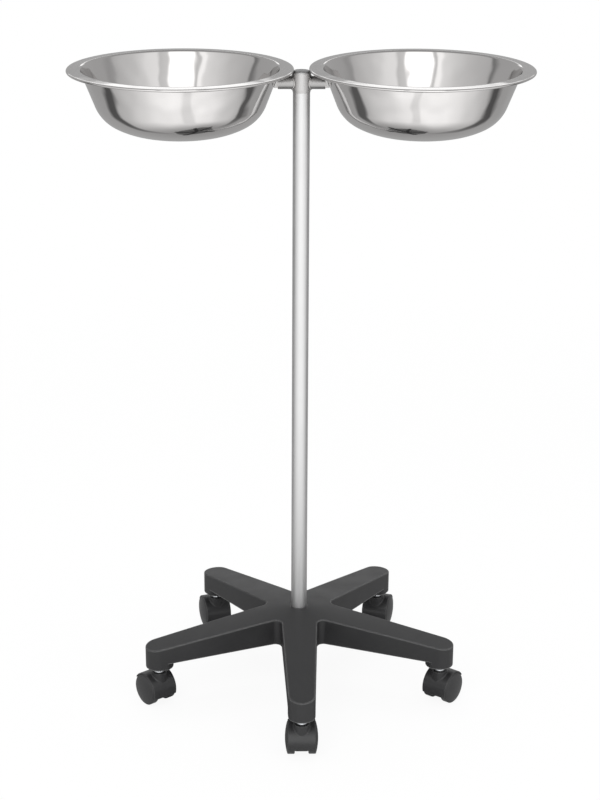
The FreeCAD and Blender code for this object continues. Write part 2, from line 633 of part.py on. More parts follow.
castor_pieces = {
    "hood": make_hood(),
    "axle": make_axle(),
    "stem": make_stem(),
    "washer": make_castor_washer(),
    "wheel_left": make_wheel(1),
    "wheel_right": make_wheel(-1),
}
grip_rings = []
for index, (castor_name, heading) in enumerate(CASTOR_HEADINGS.items()):
    for piece_name, shape in castor_pieces.items():
        save("castor_" + castor_name + "_" + piece_name, place_castor(shape, index, heading))
    grip_rings.append(place_castor(make_grip_ring(), index, heading))
save("stem_grip_rings", Part.makeCompound(grip_rings))
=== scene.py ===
import math

import bpy
import numpy as np
from mathutils import Matrix, Vector


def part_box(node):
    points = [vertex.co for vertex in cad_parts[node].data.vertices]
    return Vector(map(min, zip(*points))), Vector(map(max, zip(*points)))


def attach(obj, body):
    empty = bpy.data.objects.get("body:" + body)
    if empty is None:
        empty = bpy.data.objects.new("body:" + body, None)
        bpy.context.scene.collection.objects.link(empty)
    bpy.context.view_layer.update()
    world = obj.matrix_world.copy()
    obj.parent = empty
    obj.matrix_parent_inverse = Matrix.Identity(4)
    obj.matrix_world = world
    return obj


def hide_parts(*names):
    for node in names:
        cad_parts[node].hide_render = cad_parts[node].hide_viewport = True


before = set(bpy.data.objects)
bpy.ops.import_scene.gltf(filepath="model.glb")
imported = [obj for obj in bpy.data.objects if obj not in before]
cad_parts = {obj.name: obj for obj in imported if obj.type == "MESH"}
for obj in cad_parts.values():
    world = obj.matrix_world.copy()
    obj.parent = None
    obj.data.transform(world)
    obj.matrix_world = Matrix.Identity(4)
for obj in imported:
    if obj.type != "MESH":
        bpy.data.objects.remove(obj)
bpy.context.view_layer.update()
scene = bpy.context.scene
scene.view_settings.view_transform = "Standard"


# Camera
# The view of the photograph: from just left of the column and above the rims, looking down on the base.
# The place and the turns were found by fitting the castors, the column and the rims.
camera_place = Vector((-0.0588, -2.6357, 1.4819))
camera_pitch_down = math.radians(20.67)
camera_yaw_right = math.radians(1.28)
camera_roll = math.radians(0.29)
camera_lens_mm = 82.25
camera_sensor_mm = 36.0


def camera_axes(yaw, pitch, roll):
    """Right, up and forward for a view turned right by yaw, down by pitch and then rolled."""
    forward = Vector((math.sin(yaw) * math.cos(pitch), math.cos(yaw) * math.cos(pitch), -math.sin(pitch)))
    level = Vector((math.cos(yaw), -math.sin(yaw), 0.0))
    upright = level.cross(forward)
    right = math.cos(roll) * level + math.sin(roll) * upright
    return right, math.cos(roll) * upright - math.sin(roll) * level, forward


right_axis, up_axis, forward_axis = camera_axes(camera_yaw_right, camera_pitch_down, camera_roll)
camera_data = bpy.data.cameras.new("camera")
camera_data.lens = camera_lens_mm
camera_data.sensor_width = camera_sensor_mm
camera_data.clip_end = 100.0
camera = bpy.data.objects.new("camera", camera_data)
camera.matrix_world = Matrix.Translation(camera_place) @ Matrix((
    (right_axis.x, up_axis.x, -forward_axis.x, 0.0),
    (right_axis.y, up_axis.y, -forward_axis.y, 0.0),
    (right_axis.z, up_axis.z, -forward_axis.z, 0.0),
    (0.0, 0.0, 0.0, 1.0)))
scene.collection.objects.link(camera)
scene.camera = camera


# Studio
# A photographer's white room with three soft lamps. The camera sees plain white behind the stand.
# Steel mirrors the room, so for reflections it is a tent of hung cloth, with a wide bright sheet in
# front, sides that fall off to grey, a grey back and a grey roof.
room_light = 0.62
tent_brightest = 1.84
tent_roof = 0.40
# Brightness of the walls as shares of the brightest, each at a bearing in degrees to the right of the
# front. A narrower sheet hangs on either side of the middle one, and a dark gap ends each side.
wall_bearings = [
    (-180, 0.25), (-140, 0.27), (-112, 0.27), (-104, 0.14), (-101, 0.14), (-98, 0.34), (-84, 0.37),
    (-66, 0.42), (-50, 0.50), (-34, 0.60), (-29, 0.80), (-24, 0.78), (-22, 0.42), (-19, 0.46), (-17, 1.0),
    (17, 1.0), (19, 0.50), (30, 0.44), (33, 0.64), (46, 0.60), (54, 0.52), (66, 0.44), (84, 0.38),
    (94, 0.34), (99, 0.24), (104, 0.23), (112, 0.27), (140, 0.27), (180, 0.25)]
# The wall behind has a bright strip, 14 to 22 degrees up, which the near flanges mirror. The stops say
# where it is, by the sine of the angle upward and by how nearly straight behind.
back_strip = 1.45
strip_by_height = [(0.0, 0.0), (0.238, 0.0), (0.258, 1.0), (0.335, 1.0), (0.370, 0.0), (1.0, 0.0)]
strip_by_depth = [(0.0, 0.0), (0.86, 0.0), (0.93, 1.0), (1.0, 1.0)]
# The walls turn into the roof between 35 and 60 degrees up, again by the sine
roof_by_height = [(0.0, 0.0), (0.57, 0.0), (0.87, 1.0), (1.0, 1.0)]


def linear(hex_code):
    """A colour's sRGB hex code as linear red, green, blue and alpha."""
    channels = [int(hex_code[start:start + 2], 16) / 255 for start in (0, 2, 4)]
    low = [value / 12.92 if value <= 0.04045 else ((value + 0.055) / 1.055) ** 2.4 for value in channels]
    return (*low, 1.0)


def add_node(tree, kind, inputs=None, stops=(), **settings):
    """Add a node with its properties, its links and values, and a ramp's stops.

    An input is a value, another node's output, or a node, which stands for its first output.
    A stop is a place from 0 to 1 and a grey there.
    """
    made = tree.nodes.new(kind)
    for name, value in settings.items():
        setattr(made, name, value)
    for name, value in (inputs or {}).items():
        source = value.outputs[0] if isinstance(value, bpy.types.Node) else value
        if isinstance(source, bpy.types.NodeSocket):
            tree.links.new(source, made.inputs[name])
        else:
            made.inputs[name].default_value = source
    if stops:
        elements = made.color_ramp.elements
        while len(elements) < len(stops):
            elements.new(0.5)
        for element, (place, grey) in zip(elements, stops):
            element.position = place
            element.color = (grey, grey, grey, 1.0)
    return made


def brightness_by_bearing(tree, x, y, bearings):
    """How bright the tent is where x and y point: the share at their bearing, times the brightest.

    The bearing is the arc tangent of x over -y, so it is 0 at the front and grows to the right.
    """
    forward = add_node(tree, "ShaderNodeMath", {0: y, 1: -1.0}, operation="MULTIPLY")
    angle = add_node(tree, "ShaderNodeMath", {0: x, 1: forward}, operation="ARCTAN2")
    part_of_turn = add_node(tree, "ShaderNodeMath", {0: angle, 1: 0.5 / math.pi, 2: 0.5},
                            operation="MULTIPLY_ADD")
    stops = [(degrees / 360 + 0.5, share) for degrees, share in bearings]
    share = add_node(tree, "ShaderNodeValToRGB", {0: part_of_turn}, stops)
    return add_node(tree, "ShaderNodeMath", {0: share, 1: tent_brightest}, operation="MULTIPLY")


world = bpy.data.worlds.new("white_room")
scene.world = world
world.use_nodes = True
tree = world.node_tree
tree.nodes.clear()
direction = add_node(tree, "ShaderNodeTexCoord").outputs["Generated"]
apart = add_node(tree, "ShaderNodeSeparateXYZ", {0: direction}).outputs
strip_high = add_node(tree, "ShaderNodeValToRGB", {0: apart["Z"]}, strip_by_height)
strip_deep = add_node(tree, "ShaderNodeValToRGB", {0: apart["Y"]}, strip_by_depth)
strip = add_node(tree, "ShaderNodeMath", {0: strip_high, 1: strip_deep}, operation="MULTIPLY")
sides = brightness_by_bearing(tree, apart["X"], apart["Y"], wall_bearings)
walls = add_node(tree, "ShaderNodeMix", {0: strip, 2: sides, 3: back_strip}, data_type="FLOAT")
roof = add_node(tree, "ShaderNodeValToRGB", {0: apart["Z"]}, roof_by_height)
tent = add_node(tree, "ShaderNodeMix", {0: roof, 2: walls, 3: tent_roof}, data_type="FLOAT")
path = add_node(tree, "ShaderNodeLightPath").outputs
unseen = add_node(tree, "ShaderNodeMix", {0: path["Is Glossy Ray"], 2: room_light, 3: tent},
                  data_type="FLOAT")
looked_at = add_node(tree, "ShaderNodeMath", {0: path["Is Camera Ray"], 1: path["Is Transmission Ray"]},
                     operation="MAXIMUM")
strength = add_node(tree, "ShaderNodeMix", {0: looked_at, 2: unseen, 3: 1.0}, data_type="FLOAT")
shade = add_node(tree, "ShaderNodeBackground", {"Color": linear("FFFFFF"), "Strength": strength})
add_node(tree, "ShaderNodeOutputWorld", {"Surface": shade})


def add_lamp(name, place, target, size, power):
    """A square soft box that faces its target, and that steel doesn't mirror."""
    data = bpy.data.lights.new(name, "AREA")
    data.shape = "SQUARE"
    data.size = size
    data.energy = power
    lamp = bpy.data.objects.new(name, data)
    facing = (place - target).to_track_quat("Z", "Y").to_matrix().to_4x4()
    lamp.matrix_world = Matrix.Translation(place) @ facing
    lamp.visible_glossy = False
    scene.collection.objects.link(lamp)


stand_middle = Vector((0.0, 0.0, 0.5))
add_lamp("key_box", Vector((-1.2, -2.4, 2.6)), stand_middle, size=1.6, power=34.0)
add_lamp("fill_box", Vector((1.8, -2.0, 1.5)), stand_middle, size=1.6, power=14.0)
add_lamp("top_box", Vector((0.0, 0.4, 3.0)), stand_middle, size=2.0, power=26.0)


# Floor
# White paper. The camera sees it as plain white, dimmed a little where the stand shades it. Steel sees
# it as a painted glow of the tent's light, bright in front, with painted shade under the stand and behind
# it.
floor_reach = 12.0
# The shade that the camera sees is whole up to the first distance and gone at the second
shade_seen = 0.08
shade_whole_to = 0.5
shade_gone_at = 2.2
# Painted glow of the open paper by bearing, as on the walls, and how far it holds by distance in metres
floor_bearings = [
    (-180, 0.23), (-140, 0.25), (-116, 0.25), (-108, 0.05), (-98, 0.05), (-92, 0.34), (-76, 0.44),
    (-54, 0.60), (-36, 0.76), (-20, 0.84), (20, 0.85), (40, 0.78), (60, 0.62), (78, 0.46), (92, 0.36),
    (98, 0.05), (107, 0.05), (116, 0.25), (140, 0.25), (180, 0.23)]
# Painted shade in the glow: dimmer round the stand and nearly dark under it, where the stand shades the
# paper
under_stand_radius = 0.23
open_by_distance = [(0.0, 0.0), (under_stand_radius, 0.02), (0.40, 0.24), (0.68, 0.72), (1.0, 1.0)]
paper_round_stand = 0.38
paper_under_stand = 0.10
# Painted shadow of the camera's stand: a grey strip on the paper in front, seen only in reflections
seam_half_width = 0.14
seam_begins = -0.55
seam_full = -0.75
seam_share = 0.80


def new_material(name):
    """An empty material and the tree to build it in."""
    material = bpy.data.materials.new(name)
    material.use_nodes = True
    tree = material.node_tree
    tree.nodes.clear()
    return material, tree


paper, tree = new_material("white_paper")
place = add_node(tree, "ShaderNodeTexCoord").outputs["Object"]
apart = add_node(tree, "ShaderNodeSeparateXYZ", {0: place}).outputs
away = add_node(tree, "ShaderNodeVectorMath", {0: place}, operation="LENGTH").outputs["Value"]
opened = add_node(tree, "ShaderNodeValToRGB", {0: away}, open_by_distance)
# The tent's light painted on the paper as a glow, greyed round the stand by painted shade
tent_light = brightness_by_bearing(tree, apart["X"], apart["Y"], floor_bearings)
open_paper = add_node(tree, "ShaderNodeMix", {0: opened, 2: paper_round_stand, 3: tent_light},
                      data_type="FLOAT")
# Painted shadow of the camera's stand, a grey strip in front of the stand
sideways = add_node(tree, "ShaderNodeMath", {0: apart["X"]}, operation="ABSOLUTE")
seam_across = add_node(tree, "ShaderNodeMapRange", {"Value": sideways, "From Min": seam_half_width,
                                                    "From Max": seam_half_width / 2})
seam_along = add_node(tree, "ShaderNodeMapRange", {"Value": apart["Y"], "From Min": seam_begins,
                                                   "From Max": seam_full})
seam = add_node(tree, "ShaderNodeMath", {0: seam_across, 1: seam_along}, operation="MULTIPLY")
dimmed = add_node(tree, "ShaderNodeMath", {0: open_paper, 1: seam_share}, operation="MULTIPLY")
with_seam = add_node(tree, "ShaderNodeMix", {0: seam, 2: open_paper, 3: dimmed}, data_type="FLOAT")
# Painted shadow: under the stand the paper that steel mirrors is nearly dark
under_stand = add_node(tree, "ShaderNodeMath", {0: away, 1: under_stand_radius}, operation="LESS_THAN")
mirrored = add_node(tree, "ShaderNodeMix", {0: under_stand, 2: with_seam, 3: paper_under_stand},
                    data_type="FLOAT")
path = add_node(tree, "ShaderNodeLightPath").outputs
strength = add_node(tree, "ShaderNodeMix", {0: path["Is Glossy Ray"], 2: 1.0, 3: mirrored},
                    data_type="FLOAT")
looked_at = add_node(tree, "ShaderNodeMath", {0: path["Is Camera Ray"], 1: path["Is Transmission Ray"]},
                     operation="MAXIMUM")
seen = add_node(tree, "ShaderNodeMath", {0: looked_at, 1: path["Is Glossy Ray"]}, operation="MAXIMUM")
plainness = add_node(tree, "ShaderNodeMapRange", {"Value": away, "From Min": shade_whole_to,
                                                  "From Max": shade_gone_at, "To Min": 1.0 - shade_seen,
                                                  "To Max": 1.0})
share = add_node(tree, "ShaderNodeMath", {0: seen, 1: plainness}, operation="MULTIPLY")
matt = add_node(tree, "ShaderNodeBsdfDiffuse", {"Color": linear("FCFCFC")})
plain = add_node(tree, "ShaderNodeEmission", {"Color": linear("FFFFFF"), "Strength": strength})
from_above = add_node(tree, "ShaderNodeMixShader", {0: share, 1: matt, 2: plain})
# From below the paper is clear, so that the underside of the stand can be seen
below = add_node(tree, "ShaderNodeNewGeometry").outputs["Backfacing"]
clear = add_node(tree, "ShaderNodeBsdfTransparent")
surface = add_node(tree, "ShaderNodeMixShader", {0: below, 1: from_above, 2: clear})
add_node(tree, "ShaderNodeOutputMaterial", {"Surface": surface})

floor_mesh = bpy.data.meshes.new("paper_floor")
floor_corners = [(-floor_reach, -floor_reach, 0.0), (floor_reach, -floor_reach, 0.0),
                 (floor_reach, floor_reach, 0.0), (-floor_reach, floor_reach, 0.0)]
floor_mesh.from_pydata(floor_corners, [], [(0, 1, 2, 3)])
floor_mesh.materials.append(paper)
floor = bpy.data.objects.new("paper_floor", floor_mesh)
scene.collection.objects.link(floor)


# Basins
# Each basin is a disc of 0.8 mm stainless sheet spun over a former: a level flange with its edge rolled
# under, a wall that leans in, a round bilge and a belly that flattens to the floor. It is polished bright,
# and keeps the fine rings of the spinning and polishing tools.
sheet_thickness = 0.0008
bead_radius = 0.0018
flange_width = 0.0194
flange_fall = 0.0007
wall_lean = math.radians(21.15)
neck_round = 0.003
bilge_round = 0.0544
bilge_turn = math.radians(61.8)
belly_round = 0.1158
# How many points draw each stretch of the section, and how many columns go round
floor_points = 14
belly_points = 16
bilge_points = 22
wall_points = 10
neck_points = 8
bead_points = 22
flange_under_points = 6
flange_top_points = 8
basin_columns = 320
# The radius of the circle on which the polishing rings' pattern is drawn
spin_radius = 0.004
# How wavy the sheet is from its floor, at 0, to its rim, at 1: the floor and the flange are flatter
wave_by_height = [(0.0, 0.1), (0.10, 0.2), (0.35, 1.0), (0.90, 1.0), (0.97, 0.22)]


def clouded(tree, place, colours, roughnesses, scale, detail):
    """A slow noise that shifts colour and roughness together from the first of each to the second."""
    cloud = add_node(tree, "ShaderNodeTexNoise", {"Vector": place, "Scale": scale, "Detail": detail})
    roughness = add_node(tree, "ShaderNodeMapRange", {"Value": cloud, "From Min": 0.3, "From Max": 0.7,
                                                      "To Min": roughnesses[0], "To Max": roughnesses[1]})
    colour = add_node(tree, "ShaderNodeMix", {0: cloud, 6: linear(colours[0]), 7: linear(colours[1])},
                      data_type="RGBA")
    return colour.outputs[2], roughness


def polished_stainless(lowest, highest):
    """Spun and polished stainless: a pale grey mirror that the polishing rings blur a little, and that
    the waves left by the spinning roller bend."""
    material, tree = new_material("spun_polished_stainless")
    ring_place = add_node(tree, "ShaderNodeAttribute", attribute_name="spin").outputs["Vector"]
    # Rings of about 0.8 mm, coarser than the real 0.1 mm so that they show in the picture
    rings = add_node(tree, "ShaderNodeTexNoise", {"Vector": ring_place, "Scale": 1250.0, "Detail": 3.0})
    ring_bump = add_node(tree, "ShaderNodeBump", {"Height": rings, "Strength": 0.12, "Distance": 0.00003})
    # Waves of about 45 mm from the spinning roller
    place = add_node(tree, "ShaderNodeTexCoord").outputs["Object"]
    waves = add_node(tree, "ShaderNodeTexNoise", {"Vector": place, "Scale": 22.0, "Detail": 1.0})
    upward = add_node(tree, "ShaderNodeSeparateXYZ", {0: place}).outputs["Z"]
    height = add_node(tree, "ShaderNodeMapRange", {"Value": upward, "From Min": lowest, "From Max": highest})
    waviness = add_node(tree, "ShaderNodeValToRGB", {0: height}, wave_by_height)
    wave_bump = add_node(tree, "ShaderNodeBump", {"Height": waves, "Strength": waviness,
                                                  "Distance": 0.0019, "Normal": ring_bump})
    # Cleaner and duller patches of about 110 mm from handling
    colour, roughness = clouded(tree, place, ("C9C7C6", "D3D1D0"), (0.04, 0.10), scale=9.0, detail=4.0)
    shader = add_node(tree, "ShaderNodeBsdfPrincipled", {"Base Color": colour, "Metallic": 1.0,
                                                         "Roughness": roughness, "Normal": wave_bump})
    add_node(tree, "ShaderNodeOutputMaterial", {"Surface": shader})
    return material


def arc(centre, radius, start, end, count):
    """Points on a circle round a centre in radius and height, from one angle to another."""
    angles = np.linspace(start, end, count)
    return np.stack([centre[0] + radius * np.cos(angles), centre[1] + radius * np.sin(angles)], 1)


def basin_section(rim_radius, top, bottom):
    """The sheet's section from the axis outwards along the underside, round the bead and back inside.

    The wall is a straight line that leans in by the wall's angle. It is tangent to the neck round
    above and to the bilge round below, and the bilge round is tangent to the belly round, which ends
    level where the floor begins. The inner face is the same curves, one sheet thickness away.
    """
    under = top - sheet_thickness
    neck = np.array([rim_radius - flange_width + neck_round * math.tan((math.pi / 2 - wall_lean) / 2),
                     under - neck_round])
    normal = np.array([math.cos(wall_lean), -math.sin(wall_lean)])
    downhill = np.array([-math.sin(wall_lean), -math.cos(wall_lean)])
    wall_top = neck - neck_round * normal
    belly_rise = belly_round * (1 - math.sin(bilge_turn))
    bilge_rise = bilge_round * (math.sin(bilge_turn) - math.sin(wall_lean))
    wall_length = (wall_top[1] - bottom - belly_rise - bilge_rise) / math.cos(wall_lean)
    bilge = wall_top + wall_length * downhill - bilge_round * normal
    turn = np.array([math.cos(bilge_turn), -math.sin(bilge_turn)])
    belly = bilge + (bilge_round - belly_round) * turn

    def face(depth):
        """The curves from the axis to the flange, at a depth inside the sheet's underside."""
        low = arc(belly, belly_round - depth, -math.pi / 2, -bilge_turn, belly_points)
        middle = arc(bilge, bilge_round - depth, -bilge_turn, -wall_lean, bilge_points)
        high = arc(neck, neck_round + depth, math.pi - wall_lean, math.pi / 2, neck_points)
        level = np.linspace((0.0, low[0, 1]), low[0], floor_points)
        wall = np.linspace(middle[-1], high[0], wall_points)
        return np.concatenate([level[:-1], low[:-1], middle[:-1], wall[:-1], high])

    outer = face(0.0)
    inner = face(sheet_thickness)
    bead = np.array([rim_radius - bead_radius, top - flange_fall - bead_radius])
    # The bead's circle starts where it meets the underside of the flange, and ends on its top
    curl = math.pi - math.asin((under - flange_fall - bead[1]) / bead_radius)
    edge = arc(bead, bead_radius, curl, math.pi * 2.5, bead_points)
    flange_under = np.linspace(outer[-1], edge[0], flange_under_points)[1:-1]
    flange_top = np.linspace(edge[-1], inner[-1], flange_top_points)[1:-1]
    return np.concatenate([outer, flange_under, edge, flange_top, inner[::-1]])


def make_mesh(name, points, face_groups, attributes=None):
    """A smooth mesh from an array of points and arrays of faces that have the same number of corners."""
    mesh = bpy.data.meshes.new(name)
    corners = np.concatenate([faces.ravel() for faces in face_groups])
    sizes = np.concatenate([np.full(len(faces), faces.shape[1]) for faces in face_groups])
    starts = np.concatenate([[0], np.cumsum(sizes)[:-1]])
    mesh.vertices.add(len(points))
    mesh.vertices.foreach_set("co", points.astype(np.float32).ravel())
    mesh.loops.add(len(corners))
    mesh.loops.foreach_set("vertex_index", corners.astype(np.int32))
    mesh.polygons.add(len(sizes))
    mesh.polygons.foreach_set("loop_start", starts.astype(np.int32))
    mesh.polygons.foreach_set("use_smooth", np.ones(len(sizes), bool))
    for attribute_name, values in (attributes or {}).items():
        attribute = mesh.attributes.new(attribute_name, "FLOAT_VECTOR", "POINT")
        attribute.data.foreach_set("vector", values.astype(np.float32).ravel())
    mesh.update(calc_edges=True)
    mesh.validate()
    made = bpy.data.objects.new(name, mesh)
    scene.collection.objects.link(made)
    return made


def turned(name, section, centre, columns):
    """A section of radius and height carried round an upright axis: x = r cos a, y = r sin a.

    The section starts and ends on the axis, so its first and last points are single poles.
    The spin attribute holds (cos a, sin a) times its radius with the length along the section, and
    draws a pattern out into rings round the axis.
    """
    angles = np.linspace(0.0, 2 * math.pi, columns, endpoint=False)
    around = np.stack([np.cos(angles), np.sin(angles)], 1)
    steps = np.linalg.norm(np.diff(section, axis=0), axis=1)
    along = np.concatenate([[0.0], np.cumsum(steps)])
    body = section[1:-1]
    flat = body[:, None, 0, None] * around[None]
    rise = np.broadcast_to(body[:, None, 1, None], flat.shape[:2] + (1,))
    rings = np.concatenate([flat, rise], 2).reshape(-1, 3)
    poles = np.array([[0.0, 0.0, section[0, 1]], [0.0, 0.0, section[-1, 1]]])
    points = np.concatenate([rings, poles]) + np.array([centre[0], centre[1], 0.0])

    turn_marks = np.broadcast_to(spin_radius * around[None], (len(body), columns, 2))
    length_marks = np.broadcast_to(along[1:-1, None, None], (len(body), columns, 1))
    ring_marks = np.concatenate([turn_marks, length_marks], 2)
    marks = np.concatenate([ring_marks.reshape(-1, 3), [[0.0, 0.0, along[0]], [0.0, 0.0, along[-1]]]])

    index = np.arange(len(body) * columns).reshape(len(body), columns)
    after = np.roll(index, -1, 1)
    quads = np.stack([index[:-1], after[:-1], after[1:], index[1:]], 2).reshape(-1, 4)
    first_pole = np.full(columns, len(rings))
    first = np.stack([first_pole, after[0], index[0]], 1)
    last = np.stack([first_pole + 1, index[-1], after[-1]], 1)
    return make_mesh(name, points, [quads, first, last], {"spin": marks})


lowest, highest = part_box("basin_left")
basin_steel = polished_stainless(lowest.z, highest.z)
for side in ("left", "right"):
    lowest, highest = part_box("basin_" + side)
    basin_centre = ((lowest.x + highest.x) / 2, (lowest.y + highest.y) / 2)
    basin_radius = (highest.x - lowest.x) / 2
    basin = turned("spun_basin_" + side, basin_section(basin_radius, highest.z, lowest.z),
                   basin_centre, basin_columns)
    basin.data.materials.append(basin_steel)
    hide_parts("basin_" + side)
    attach(basin, side + "_basin")


# Tubes, rods and plates of the frame
# Welded stainless tube and rod, belt-ground to a satin finish: the column with its domed plug, the sleeve
# over its top, the two short arms, the plates at their ends and the rings that carry the basins.


def satin_stainless(name, colours, roughnesses, lines_per_metre):
    """Belt-ground stainless: a grey metal whose fine lines spread every highlight into a soft band."""
    material, tree = new_material(name)
    place = add_node(tree, "ShaderNodeTexCoord").outputs["Object"]
    # Grinding lines 0.5 mm apart on the tubes, coarser than the real grit so that they show
    lines_place = add_node(tree, "ShaderNodeMapping", {"Vector": place, "Scale": lines_per_metre})
    lines = add_node(tree, "ShaderNodeTexNoise", {"Vector": lines_place, "Scale": 1.0, "Detail": 2.0})
    bump = add_node(tree, "ShaderNodeBump", {"Height": lines, "Strength": 0.3, "Distance": 0.00004})
    # Duller patches of about 70 mm, where the belt was worn
    colour, roughness = clouded(tree, place, colours, roughnesses, scale=14.0, detail=3.0)
    shader = add_node(tree, "ShaderNodeBsdfPrincipled", {"Base Color": colour, "Metallic": 1.0,
                                                         "Roughness": roughness, "Normal": bump})
    add_node(tree, "ShaderNodeOutputMaterial", {"Surface": shader})
    return material


smooth_limit = math.radians(32.0)
merge_reach = 0.000002
# From 1 to 100: 80 lets the large flat faces set the shading beside a round
flat_face_weight = 80


def dress(node_name, material):
    """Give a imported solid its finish, and shade its flat faces flat, rounds smooth and corners sharp."""
    node_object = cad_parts[node_name]
    node_object.data.materials.clear()
    node_object.data.materials.append(material)
    faces = node_object.data.polygons
    faces.foreach_set("use_smooth", np.ones(len(faces), bool))
    faces.foreach_set("material_index", np.zeros(len(faces), np.int32))
    weld = node_object.modifiers.new("join_facets", "WELD")
    weld.merge_threshold = merge_reach
    split = node_object.modifiers.new("keep_corners", "EDGE_SPLIT")
    split.split_angle = smooth_limit
    even = node_object.modifiers.new("flat_faces_even", "WEIGHTED_NORMAL")
    even.weight = flat_face_weight
    even.keep_sharp = True


# Lines per metre along x, y and z: close together along a tube's axis and long round it. The plug, the
# plates and the bent rods are brushed by hand, in touches of about 4 mm that run all ways.
upright_tube = (60.0, 60.0, 2000.0)
level_tube = (2000.0, 60.0, 60.0)
brushed_by_hand = (250.0, 250.0, 250.0)
# Painted shade: the sleeve, plug, arms and rods are darker copies of the column's steel
column_steel = satin_stainless("satin_ground_stainless", ("D2D2D2", "DADADA"), (0.38, 0.48), upright_tube)
sleeve_steel = satin_stainless("satin_sleeve_painted_shade", ("BFBEBD", "C8C7C6"), (0.42, 0.50), upright_tube)
plug_steel = satin_stainless("stainless_plug_painted_shade", ("8E8E8E", "9C9C9C"), (0.34, 0.42), brushed_by_hand)
arm_steel = satin_stainless("stainless_arm_painted_shade", ("9E9D9C", "ACABAA"), (0.34, 0.44), level_tube)
rod_steel = satin_stainless("stainless_rod_painted_shade", ("A6A5A4", "B4B3B2"), (0.34, 0.44), brushed_by_hand)
dress("column_tube", column_steel)
dress("cross_sleeve", sleeve_steel)
dress("column_cap", plug_steel)
for side in ("left", "right"):
    dress("arm_" + side, arm_steel)
    dress("bracket_" + side, rod_steel)
    dress("ring_" + side, rod_steel)


# Weld beads
# A bead of stainless filler joins each arm to the sleeve and each bracket's foot to its arm. The crests
# are brushed smooth and carry a painted highlight; both sides hold a dark grey of heat tint and painted
# shade.
arm_bead_radius = 0.0012
foot_bead_radius = 0.0009
bracket_foot_height = 0.0092
bead_ripples = 26
ripple_depth = 0.125
bead_steps = 208
bead_sides = 12
# How far each crest leans away from the sleeve or the arm's end, as a slope
arm_bead_lean = 0.6
foot_bead_lean = 0.3
# The power that makes a circle into the foot's oblong with rounded corners
foot_squareness = 0.4


def tinted_weld():
    """Stainless weld metal: a painted highlight on its crest, and beside it a grey-black of heat tint and
    painted shade.
    """
    material, tree = new_material("weld_tint_and_painted_highlight")
    crest = add_node(tree, "ShaderNodeAttribute", attribute_name="crest").outputs["Vector"]
    height = add_node(tree, "ShaderNodeSeparateXYZ", {0: crest}).outputs[0]
    # Painted highlight: the colour turns bright towards the crest, and dark with tint and painted shade
    # beside it
    clean = add_node(tree, "ShaderNodeMapRange", {"Value": height, "From Min": 0.60, "From Max": 0.92})
    colour = add_node(tree, "ShaderNodeMix", {0: clean, 6: linear("3A3735"), 7: linear("DCDAD8")},
                      data_type="RGBA").outputs[2]
    roughness = add_node(tree, "ShaderNodeMapRange", {"Value": clean, "To Min": 0.5, "To Max": 0.22})
    shader = add_node(tree, "ShaderNodeBsdfPrincipled", {"Base Color": colour, "Metallic": 1.0,
                                                         "Roughness": roughness})
    add_node(tree, "ShaderNodeOutputMaterial", {"Surface": shader})
    return material


def weld_bead(name, line, outward, radius):
    """A bead round a closed line: at each step along it a circle across it, whose radius shrinks by the
    ripple's depth between two ripples. The crest attribute is the cosine of the angle from outward."""
    along = np.roll(line, -1, 0) - np.roll(line, 1, 0)
    along /= np.linalg.norm(along, axis=1, keepdims=True)
    up = outward - (outward * along).sum(1, keepdims=True) * along
    up /= np.linalg.norm(up, axis=1, keepdims=True)
    across = np.cross(along, up)
    steps = np.linspace(0.0, math.pi * bead_ripples, len(line), endpoint=False)
    swell = (radius * (1 - ripple_depth * np.abs(np.cos(steps))))[:, None, None]
    turn = np.linspace(0.0, 2 * math.pi, bead_sides, endpoint=False)[None, :, None]
    points = line[:, None] + swell * (np.cos(turn) * up[:, None] + np.sin(turn) * across[:, None])
    marks = np.zeros((len(line), bead_sides, 3))
    marks[:, :, 0] = np.cos(turn[:, :, 0])
    index = np.arange(len(line) * bead_sides).reshape(len(line), bead_sides)
    beside = np.roll(index, -1, 1)
    ahead = np.roll(index, -1, 0)
    quads = np.stack([index, beside, np.roll(beside, -1, 0), ahead], 2).reshape(-1, 4)
    return make_mesh(name, points.reshape(-1, 3), [quads], {"crest": marks.reshape(-1, 3)})


weld_steel = tinted_weld()
round_turn = np.linspace(0.0, 2 * math.pi, bead_steps, endpoint=False)
cosine = np.cos(round_turn)
sine = np.sin(round_turn)
sleeve_low, sleeve_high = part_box("cross_sleeve")
sleeve_radius = (sleeve_high.x - sleeve_low.x) / 2
for side, way in (("left", -1.0), ("right", 1.0)):
    arm_low, arm_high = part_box("arm_" + side)
    arm_radius = (arm_high.z - arm_low.z) / 2
    arm_axis = (arm_high.z + arm_low.z) / 2
    arm_end = arm_high.x if way > 0 else arm_low.x
    # Where two tubes cross: y and z go round the arm, and x follows the sleeve's circle
    y = arm_radius * cosine
    z = arm_axis + arm_radius * sine
    saddle = np.stack([way * np.sqrt(sleeve_radius ** 2 - y ** 2), y, z], 1)
    outward = np.stack([np.full(bead_steps, way * arm_bead_lean), cosine, sine], 1)
    arm_bead = weld_bead("weld_arm_" + side, saddle, outward, arm_bead_radius)
    # Round the bracket's foot: y and z go as the signed powers of cosine and sine, on the arm's end
    foot_low, foot_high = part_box("bracket_" + side)
    half_width = (foot_high.y - foot_low.y) / 2
    half_height = bracket_foot_height / 2
    y = half_width * np.sign(cosine) * np.abs(cosine) ** foot_squareness
    z = foot_low.z + half_height + half_height * np.sign(sine) * np.abs(sine) ** foot_squareness
    foot_line = np.stack([np.full(bead_steps, arm_end), y, z], 1)
    outward = np.stack([np.full(bead_steps, way * foot_bead_lean), cosine, sine], 1)
    foot_bead = weld_bead("weld_foot_" + side, foot_line, outward, foot_bead_radius)
    for bead in (arm_bead, foot_bead):
        bead.data.materials.append(weld_steel)
        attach(bead, "stand")


